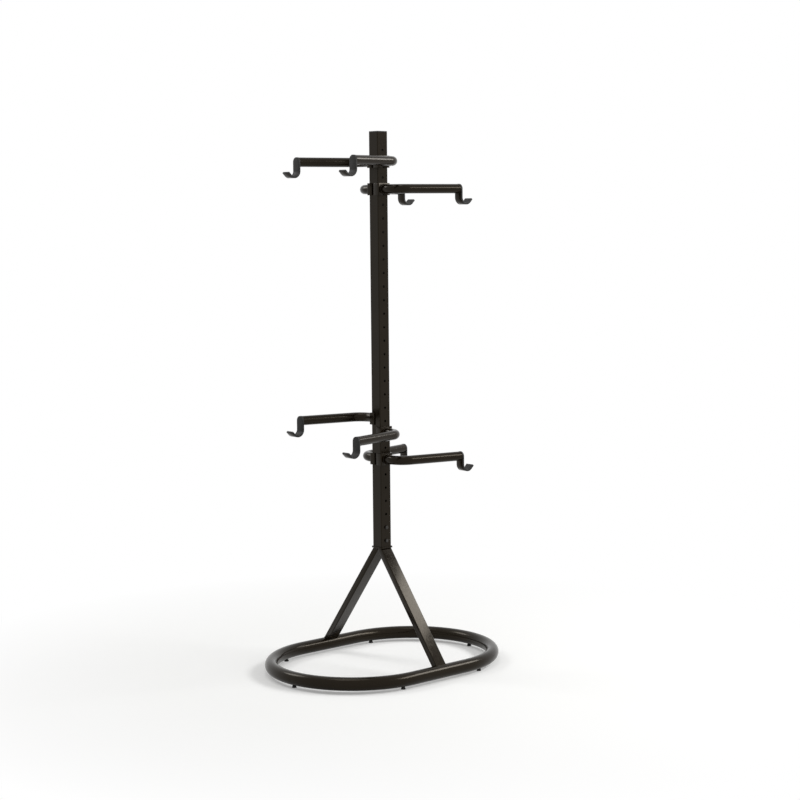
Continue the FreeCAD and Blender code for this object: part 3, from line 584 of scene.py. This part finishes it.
@dataclass
class WeldBead:
    """A bead of weld, laid as a closed round of small overlapping pools.

    Attributes:
        width: Thickness of the bead.
        ripple: How far each pool stands proud.
        sides: Faces around the bead.
        pool_share: Length of a pool as a share of the bead's thickness.
        fewest_pools: Pools that even the smallest round has.
        pool_rings: Rings of points in one pool.
        corner_steps: Faces around a corner of a rectangle.
        cuts: Cuts in each of a rectangle's edges, so that they can follow a surface.
        lift: How far the bead's middle stands off a surface that it follows.
        crease_deg: Edges that turn by less than this are shaded smooth.
    """

    width: float = 0.0034
    ripple: float = 0.00035
    sides: int = 10
    pool_share: float = 0.55
    fewest_pools: int = 24
    pool_rings: int = 3
    corner_steps: int = 3
    cuts: int = 11
    lift: float = 0.0003
    crease_deg: float = 60.0

    def around_tube(self, name: str, centre: Vector, turn: Sequence[float], radius: float,
                    stretch: float = 1.0) -> bpy.types.Object:
        """Lay a bead around a round tube.

        Args:
            name: The bead's name.
            centre: The middle of the round.
            turn: Euler angles that lay the round's axis along the tube.
            radius: The round's radius, at the bead's middle.
            stretch: How much longer than wide the round is, along its own first axis.

        Returns:
            The bead.
        """
        clear_selection()
        pools = max(self.fewest_pools, int(math.tau * radius / (self.width * self.pool_share)))
        bpy.ops.mesh.primitive_torus_add(
            location=centre, rotation=turn, major_segments=pools * self.pool_rings,
            minor_segments=self.sides, major_radius=radius, minor_radius=self.width / 2)
        piece = bpy.context.active_object
        self._ripple(piece, pools)
        piece.scale = (stretch, 1.0, 1.0)
        settle(piece, name)
        smooth(piece, self.crease_deg)
        return piece

    def _ripple(self, piece: bpy.types.Object, pools: int) -> None:
        """Swell one ring of points in each pool, so that the bead reads as a row of pools.

        Args:
            piece: A torus about its own third axis.
            pools: How many pools the bead has.
        """
        step = math.tau / (pools * self.pool_rings)

        def crest(point: Vector) -> bool:
            ring = round((math.atan2(point.y, point.x) % math.tau) / step)
            return ring % self.pool_rings == 1

        select_points(piece, crest)
        bpy.ops.transform.shrink_fatten(value=self.ripple)
        bpy.ops.object.mode_set(mode="OBJECT")

    def along_loop(self, name: str, centre: Vector, tilt: float, size: tuple[float, float],
                   target: bpy.types.Object | None = None) -> bpy.types.Object:
        """Lay a bead along a rectangle with rounded corners.

        Args:
            name: The bead's name.
            centre: The middle of the rectangle.
            tilt: How far it leans about the Y axis.
            size: Its sides.
            target: A piece whose surface the bead follows, if the rectangle isn't flat.

        Returns:
            The bead.
        """
        clear_selection()
        bpy.ops.mesh.primitive_plane_add(size=1.0, location=centre, rotation=(0.0, tilt, 0.0))
        piece = bpy.context.active_object
        piece.scale = (size[0], size[1], 1.0)
        settle(piece, name)
        bpy.ops.object.mode_set(mode="EDIT")
        bpy.ops.mesh.select_mode(type="VERT")
        bpy.ops.mesh.select_all(action="SELECT")
        bpy.ops.mesh.bevel(offset=self.width, segments=self.corner_steps,
                           affect="VERTICES")
        bpy.ops.mesh.select_all(action="SELECT")
        bpy.ops.mesh.delete(type="ONLY_FACE")
        bpy.ops.mesh.select_all(action="SELECT")
        bpy.ops.mesh.subdivide(number_cuts=self.cuts)
        bpy.ops.object.mode_set(mode="OBJECT")
        if target is not None:
            hug = piece.modifiers.new("hug", "SHRINKWRAP")
            hug.target = target
            hug.offset = self.lift
            apply_modifiers(piece)
        bpy.ops.object.convert(target="CURVE")
        piece = bpy.context.active_object
        piece.data.bevel_depth = self.width / 2
        piece.data.bevel_resolution = 3
        bpy.ops.object.convert(target="MESH")
        piece = bpy.context.active_object
        bpy.ops.object.mode_set(mode="EDIT")
        bpy.ops.mesh.select_all(action="SELECT")
        bpy.ops.mesh.remove_doubles(threshold=1e-6)
        bpy.ops.mesh.normals_make_consistent(inside=False)
        bpy.ops.object.mode_set(mode="OBJECT")
        lumps = bpy.data.textures.new(name + "_lumps", "CLOUDS")
        lumps.noise_scale = self.width
        uneven = piece.modifiers.new("pools", "DISPLACE")
        uneven.texture = lumps
        uneven.strength = self.ripple * 2
        apply_modifiers(piece)
        bpy.data.textures.remove(lumps)
        smooth(piece, self.crease_deg)
        return piece


# The rack's sub-assemblies.


@dataclass
class FloorRing:
    """The floor ring in two bent halves, with its joining sleeves and its six feet.

    Attributes:
        feet: How many feet it has.
        foot_ease: Width of their eased edges.
    """

    feet: int = 6
    foot_ease: float = 0.0008

    def build(self, paint: PaintShop) -> None:
        """Dress the halves and model the feet."""
        paint.coat_nodes(("ring_rear_half", "ring_front_half", "ring_sleeves"), Finish.BLACK_COAT)
        paint.coat_nodes(("foot_screws",), Finish.ZINC)
        for number in range(1, self.feet + 1):
            EasedSolid("foot_%d" % number, Finish.RUBBER_FOOT, Body.STAND.value,
                       self.foot_ease).build(paint)


@dataclass
class LegPair:
    """Two leaning legs, welded to the ring at their feet and to a plate at their tops.

    Attributes:
        reach: How far out the middle of the foot's weld stands.
        seat: Height of that middle.
        lean: Tilt of the weld's round, which follows the top of the ring.
        foot: Sides of the leg's outline on the ring.
        head: Sides of the two legs' outline under the plate.
        mitre: Height and width of the face where the two legs meet.
        mitre_level: Height of that face's middle.
        ease: Width of the eased edges.
    """

    reach: float = 0.3237
    seat: float = 0.0560
    lean: float = math.radians(-17.0)
    foot: tuple[float, float] = (0.0272, 0.0510)
    head: tuple[float, float] = (0.0484, 0.0508)
    mitre: tuple[float, float] = (0.0110, 0.0506)
    mitre_level: float = 0.4655
    ease: float = 0.0005

    def build(self, paint: PaintShop) -> None:
        """Dress the legs and the plate, and lay the welds."""
        for node in ("leg_left", "leg_right", "apex_plate"):
            EasedSolid(node, Finish.BLACK_COAT, Body.STAND.value, self.ease,
                       sharp_deg=FORMED_SHARP_DEG).build(paint)
        paint.coat_nodes(("mast_spigot",), Finish.BLACK_COAT)
        halves = [copy_node("ring_%s_half" % word, "ring_" + word) for word in ("rear", "front")]
        ring = merge(halves, "ring_to_weld_on")
        bead = WeldBead()
        welds = []
        for side, word in ((-1, "left"), (1, "right")):
            centre = Vector((side * self.reach, 0.0, self.seat))
            welds.append(bead.along_loop("weld_foot_" + word, centre, side * self.lean,
                                         self.foot, ring))
        bpy.data.objects.remove(ring)
        under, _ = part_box("apex_plate")
        welds.append(bead.along_loop("weld_head", Vector((0.0, 0.0, under.z)), 0.0, self.head))
        welds.append(bead.along_loop("weld_mitre", Vector((0.0, 0.0, self.mitre_level)),
                                     QUARTER_TURN, self.mitre))
        for weld in welds:
            paint.coat(weld, Finish.BLACK_COAT)
            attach(weld, Body.STAND.value)


@dataclass
class CrossBolts:
    """Two hexagon bolts through the mast's foot, with their nuts.

    Attributes:
        flats: Width of the head across its flats.
        head: Height of the head.
        nut: Height of the nut.
        shank: Diameter of the threaded end.
        tail: How far the end stands out of the nut.
        corner: How far the head's corners are turned off, as a share of its flats.
        tip: Width of the threaded end's tip, as a share of its diameter.
        crease_deg: Edges that turn by less than this are shaded smooth.
    """

    flats: float = 0.013
    head: float = 0.0053
    nut: float = 0.0065
    shank: float = 0.008
    tail: float = 0.003
    corner: float = 0.075
    tip: float = 0.8
    crease_deg: float = 25.0

    @property
    def reach(self) -> float:
        """From the middle of the head to one of its corners."""
        return self.flats / math.sqrt(3)

    def _block(self, name: str, place: Vector, height: float, side: int) -> bpy.types.Object:
        """Model a hexagon block with turned corners, seated on a side face.

        Args:
            name: The block's name.
            place: The middle of its seat.
            height: How far it stands out.
            side: 1 on the right face, -1 on the left one.

        Returns:
            The block.
        """
        middle = place + Vector((side * height / 2, 0.0, 0.0))
        clear_selection()
        bpy.ops.mesh.primitive_cylinder_add(vertices=6, radius=self.reach, depth=height,
                                            rotation=(0.0, 0.0, math.radians(30.0)))
        block = settle(bpy.context.active_object, name)
        clear_selection()
        # The turned round is a hair larger, so that no two faces lie in one plane.
        bpy.ops.mesh.primitive_cylinder_add(vertices=72, radius=self.reach * 1.001,
                                            depth=height * 1.0004)
        turned = bpy.context.active_object
        rim = turned.modifiers.new("turned_rim", "BEVEL")
        rim.width = self.flats * self.corner
        rim.segments = 1
        rim.limit_method = "ANGLE"
        rim.angle_limit = math.radians(60.0)
        apply_modifiers(turned)
        shape = block.modifiers.new("turned_corners", "BOOLEAN")
        shape.operation = "INTERSECT"
        shape.solver = "EXACT"
        shape.object = turned
        apply_modifiers(block)
        bpy.data.objects.remove(turned)
        block.rotation_euler = (0.0, QUARTER_TURN * side, 0.0)
        block.location = middle
        return settle(block, name)

    def _end(self, name: str, place: Vector, side: int) -> bpy.types.Object:
        """Model the bolt's threaded end, with a tapered tip.

        Args:
            name: The end's name.
            place: The middle of the nut's seat.
            side: The side face that it stands out of.

        Returns:
            The threaded end.
        """
        clear_selection()
        length = self.nut + self.tail
        middle = place + Vector((side * length / 2, 0.0, 0.0))
        bpy.ops.mesh.primitive_cylinder_add(
            vertices=40, radius=self.shank / 2, depth=length, location=middle,
            rotation=(0.0, QUARTER_TURN * side, 0.0))
        end = settle(bpy.context.active_object, name)
        outside = place.x + side * length
        select_points(end, lambda point: abs(point.x - outside) < 1e-5)
        bpy.ops.mesh.extrude_region_move()
        bpy.ops.transform.resize(value=(1.0, self.tip, self.tip),
                                 center_override=Vector((outside, place.y, place.z)))
        bpy.ops.object.mode_set(mode="OBJECT")
        return end

    def build(self, paint: PaintShop) -> None:
        """Model the bolts and the nuts in the solids' places."""
        low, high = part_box("mast_bolts")
        levels = (low.z + self.reach, high.z - self.reach)
        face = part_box("mast")[1].x
        heads = []
        nuts = []
        for number, level in enumerate(levels, start=1):
            right = Vector((face, 0.0, level))
            left = Vector((-face, 0.0, level))
            heads.append(self._block("bolt_head_%d" % number, right, self.head, 1))
            heads.append(self._end("bolt_end_%d" % number, left, -1))
            nuts.append(self._block("nut_%d" % number, left, self.nut, -1))
        for name, parts, node in (("cross_bolts", heads, "mast_bolts"),
                                  ("cross_nuts", nuts, "mast_nuts")):
            piece = merge(parts, name)
            smooth(piece, self.crease_deg)
            paint.coat(piece, Finish.ZINC)
            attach(piece, Body.STAND.value)
            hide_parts(node)


@dataclass
class Mast:
    """The square mast with its hole rows, its top cap and the studs that carry the arms.

    Attributes:
        cap_ease: Width of the cap's eased edges.
        stud_ease: Width of the studs' eased edges.
    """

    cap_ease: float = 0.0008
    stud_ease: float = 0.0006

    def build(self, paint: PaintShop) -> None:
        """Dress the mast and what is fixed to it."""
        paint.coat_nodes(("mast",), Finish.BLACK_COAT)
        paint.coat_nodes(("stud_inserts",), Finish.ZINC)
        EasedSolid("mast_top_cap", Finish.CAP_PLASTIC, Body.STAND.value, self.cap_ease,
                   sharp_deg=FORMED_SHARP_DEG).build(paint)
        EasedSolid("hook_studs", Finish.ZINC, Body.STAND.value, self.stud_ease).build(paint)
        CrossBolts().build(paint)


@dataclass
class Arm:
    """One bent arm: its saddle on the mast, its tube, and the lined hook at its end.

    Attributes:
        spot: Which of the eight arms it is.
        splay: How far the tube stands off square where it meets the hook.
        root_bead: Thickness of the weld on the saddle.
        hook_bead: Thickness of the weld on the hook's strap.
        strap_ledge: How far the tube's wall overhangs the strap.
        root_gap: How far the root's bead stands off the saddle and the tube.
        strap_sink: How deep the hook's bead sits in the strap's back.
        strap_ripple: How far the pools of the hook's bead stand proud.
        saddle_ease: Width of the saddle's eased edges.
        strap_ease: Width of the strap's eased edges.
        pad_ease: Width of the lining's rounded edges.
        pad_steps: Faces across them.
    """

    spot: ArmSpot
    splay: float = math.radians(12.5)
    root_bead: float = 0.0034
    hook_bead: float = 0.0026
    strap_ledge: float = 0.0008
    root_gap: float = 0.0004
    strap_sink: float = 0.0006
    strap_ripple: float = 0.00025
    saddle_ease: float = 0.0007
    strap_ease: float = 0.0006
    pad_ease: float = 0.0008
    pad_steps: int = 3

    def build(self, paint: PaintShop) -> None:
        """Dress the arm and lay its two welds."""
        words = self.spot.words
        body = self.spot.body
        paint.coat_nodes(("arm_tube_" + words,), Finish.BLACK_COAT)
        EasedSolid("saddle_" + words, Finish.BLACK_COAT, body, self.saddle_ease).build(paint)
        EasedSolid("hook_strap_" + words, Finish.BLACK_COAT, body, self.strap_ease).build(paint)
        EasedSolid("hook_pad_" + words, Finish.HOOK_LINING, body, self.pad_ease,
                   self.pad_steps).build(paint)
        for weld in (self._root_weld(), self._hook_weld()):
            paint.coat(weld, Finish.BLACK_COAT)
            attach(weld, body)

    def _root_weld(self) -> bpy.types.Object:
        """Lay the bead around the tube on the saddle's face."""
        low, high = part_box("arm_tube_" + self.spot.words)
        radius = (high.z - low.z) / 2
        root = min(abs(low.x), abs(high.x))
        place = self.spot.mirror(Vector((root + self.root_gap, 0.0, self.spot.level())))
        bead = WeldBead(self.root_bead)
        return bead.around_tube("weld_root_" + self.spot.words, place,
                                (0.0, QUARTER_TURN, 0.0), radius + self.root_gap)

    def _hook_weld(self) -> bpy.types.Object:
        """Lay the bead around the tube on the back of the hook's strap."""
        low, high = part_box("arm_tube_" + self.spot.words)
        radius = (high.z - low.z) / 2 - self.strap_ledge
        near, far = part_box("hook_strap_" + self.spot.words)
        across = abs(near.x + far.x) / 2
        back = min(abs(near.y), abs(far.y))
        place = self.spot.mirror(Vector((across, back - self.strap_sink, self.spot.level())))
        bead = WeldBead(self.hook_bead, self.strap_ripple)
        return bead.around_tube("weld_hook_" + self.spot.words, place,
                                (QUARTER_TURN, 0.0, 0.0), radius, 1.0 / math.cos(self.splay))


# The studio.


@dataclass(frozen=True)
class Lamp:
    """A soft lamp with a rectangular face.

    Attributes:
        name: The lamp's name.
        spot: Where it hangs.
        target: What it points at.
        size: Its sides.
        power: Its power in watts.
    """

    name: str
    spot: tuple[float, float, float]
    target: tuple[float, float, float]
    size: tuple[float, float]
    power: float

    def hang(self) -> None:
        """Add the lamp to the scene."""
        clear_selection()
        aim = (Vector(self.target) - Vector(self.spot)).to_track_quat("-Z", "Y").to_euler()
        bpy.ops.object.light_add(type="AREA", location=self.spot, rotation=aim)
        lamp = bpy.context.active_object
        lamp.name = self.name
        lamp.data.shape = "RECTANGLE"
        lamp.data.size, lamp.data.size_y = self.size
        lamp.data.energy = self.power


LAMPS = (
    Lamp("top_lamp", (-0.2, -0.6, 5.2), (0.0, 0.0, 0.0), (2.0, 2.0), 35.0),
    Lamp("right_lamp", (2.9, 3.1, 3.6), (0.0, 0.0, 1.2), (4.0, 1.4), 190.0),
    Lamp("left_lamp", (-3.2, -1.6, 3.6), (0.0, 0.0, 1.0), (1.5, 1.5), 45.0),
)


def eye_rays(tree: bpy.types.NodeTree) -> bpy.types.NodeSocket:
    """Tell the rays that end in the picture from those that only carry light.

    Args:
        tree: The nodes of a material or a world.

    Returns:
        1 for rays from the camera, straight or by way of a shine or glass, and 0 for others.
    """
    path = tree.nodes.new("ShaderNodeLightPath")
    seen = path.outputs["Is Camera Ray"]
    for kind in ("Is Glossy Ray", "Is Transmission Ray"):
        either = tree.nodes.new("ShaderNodeMath")
        either.operation = "MAXIMUM"
        tree.links.new(seen, either.inputs[0])
        tree.links.new(path.outputs[kind], either.inputs[1])
        seen = either.outputs[0]
    return seen


@dataclass
class Studio:
    """A pale floor, a white surround, soft lamps and the photograph's camera.

    Attributes:
        azimuth: Direction of the camera about the mast, in degrees.
        distance: Its distance from the mast, level with the floor.
        height: Its height.
        yaw: How far it looks past the mast, in degrees.
        pitch: How far it looks up, in degrees.
        roll: How far it leans, in degrees.
        focal: Focal length in widths of the picture.
        sensor: Width of the sensor in millimetres.
        surround: Light of the surround on the rack.
        lift: How much the floor near the rack is lifted towards white where it is seen.
        clear: Between these distances from the mast the floor turns plain white.
        floor: Sides of the floor.
        far: How far the camera sees.
    """

    azimuth: float = 49.07
    distance: float = 7.0416
    height: float = 1.764
    yaw: float = 0.61
    pitch: float = -5.81
    roll: float = -0.52
    focal: float = 1826.2 / 800.0
    sensor: float = 36.0
    surround: float = 0.30
    lift: float = 0.24
    clear: tuple[float, float] = (0.8, 1.9)
    floor: float = 60.0
    far: float = 100.0

    def _camera(self) -> None:
        """Stand the camera where the photograph was taken from."""
        around = math.radians(self.azimuth)
        up = Vector((0.0, 0.0, 1.0))
        across = Vector((math.cos(around), math.sin(around), 0.0))
        ahead = Vector((-math.sin(around), math.cos(around), 0.0))
        spot = -self.distance * ahead + self.height * up
        turn = math.radians(self.yaw)
        looking = ahead * math.cos(turn) + across * math.sin(turn)
        right = across * math.cos(turn) - ahead * math.sin(turn)
        lift = math.radians(self.pitch)
        forward = looking * math.cos(lift) + up * math.sin(lift)
        top = up * math.cos(lift) - looking * math.sin(lift)
        lean = math.radians(self.roll)
        level, upright = right, top
        right = level * math.cos(lean) + upright * math.sin(lean)
        top = upright * math.cos(lean) - level * math.sin(lean)
        facing = Matrix((right, top, -forward)).transposed()
        clear_selection()
        bpy.ops.object.camera_add(location=spot, rotation=facing.to_euler())
        camera = bpy.context.active_object
        camera.name = "photograph_view"
        camera.data.sensor_width = self.sensor
        camera.data.lens = self.sensor * self.focal
        camera.data.clip_end = self.far
        bpy.context.scene.camera = camera

    def _floor(self) -> None:
        """Lay a pale floor that stays white to the camera and keeps the rack's shadow."""
        clear_selection()
        bpy.ops.mesh.primitive_plane_add(size=self.floor)
        floor = bpy.context.active_object
        floor.name = "floor"
        bench = ShaderBench("pale_floor")
        bench.fix("Base Color", (0.80, 0.80, 0.79, 1.0))
        bench.fix("Roughness", 0.9)
        bench.fix("Specular IOR Level", 0.1)
        shown = eye_rays(bench.tree)
        lift = bench.add("ShaderNodeMath", operation="MULTIPLY")
        lift.inputs[1].default_value = self.lift
        bench.wire(shown, lift.inputs[0])
        near = bench.add("ShaderNodeEmission", Color=(1.0, 1.0, 0.99, 1.0))
        bench.wire(lift.outputs[0], near.inputs["Strength"])
        lit = bench.add("ShaderNodeAddShader")
        bench.wire(bench.shader.outputs[0], lit.inputs[0])
        bench.wire(near.outputs[0], lit.inputs[1])
        place = bench.add("ShaderNodeTexCoord")
        away = bench.add("ShaderNodeVectorMath", operation="LENGTH")
        bench.wire(place.outputs["Object"], away.inputs[0])
        fade = bench.ramp(away.outputs["Value"], self.clear[0], self.clear[1], 0.0, 1.0)
        share = bench.add("ShaderNodeMath", operation="MULTIPLY")
        bench.wire(fade, share.inputs[0])
        bench.wire(shown, share.inputs[1])
        white = bench.add("ShaderNodeEmission", Color=WHITE, Strength=1.0)
        total = bench.add("ShaderNodeMixShader")
        bench.wire(share.outputs[0], total.inputs["Fac"])
        bench.wire(lit.outputs[0], total.inputs[1])
        bench.wire(white.outputs[0], total.inputs[2])
        bench.wire(total.outputs[0], bench.tree.nodes["Material Output"].inputs["Surface"])
        floor.data.materials.append(bench.material)

    def _surround(self) -> None:
        """Make the surround white where it is seen and plain where it lights."""
        world = bpy.data.worlds.new("white_surround")
        world.use_nodes = True
        bpy.context.scene.world = world
        tree = world.node_tree
        plain = tree.nodes["Background"]
        plain.inputs["Color"].default_value = WHITE
        plain.inputs["Strength"].default_value = self.surround
        white = tree.nodes.new("ShaderNodeBackground")
        white.inputs["Color"].default_value = WHITE
        white.inputs["Strength"].default_value = 1.0
        choose = tree.nodes.new("ShaderNodeMixShader")
        tree.links.new(eye_rays(tree), choose.inputs["Fac"])
        tree.links.new(plain.outputs[0], choose.inputs[1])
        tree.links.new(white.outputs[0], choose.inputs[2])
        tree.links.new(choose.outputs[0], tree.nodes["World Output"].inputs["Surface"])

    def build(self) -> None:
        """Set up the whole studio."""
        self._floor()
        self._surround()
        for lamp in LAMPS:
            lamp.hang()
        self._camera()
        bpy.context.scene.view_settings.view_transform = "Standard"


def main() -> None:
    """Build the rack's looks piece by piece and report each."""
    logging.basicConfig(level=logging.INFO, format="%(name)s: %(message)s")
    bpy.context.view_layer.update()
    paint = PaintShop()
    parts = [FloorRing(), LegPair(), Mast()]
    parts += [Arm(spot) for spot in ArmSpot]
    for part in parts:
        part.build(paint)
        LOG.info("%s is dressed", part)
    Studio().build()
    LOG.info("the studio is lit")


if __name__ == "__main__":
    main()
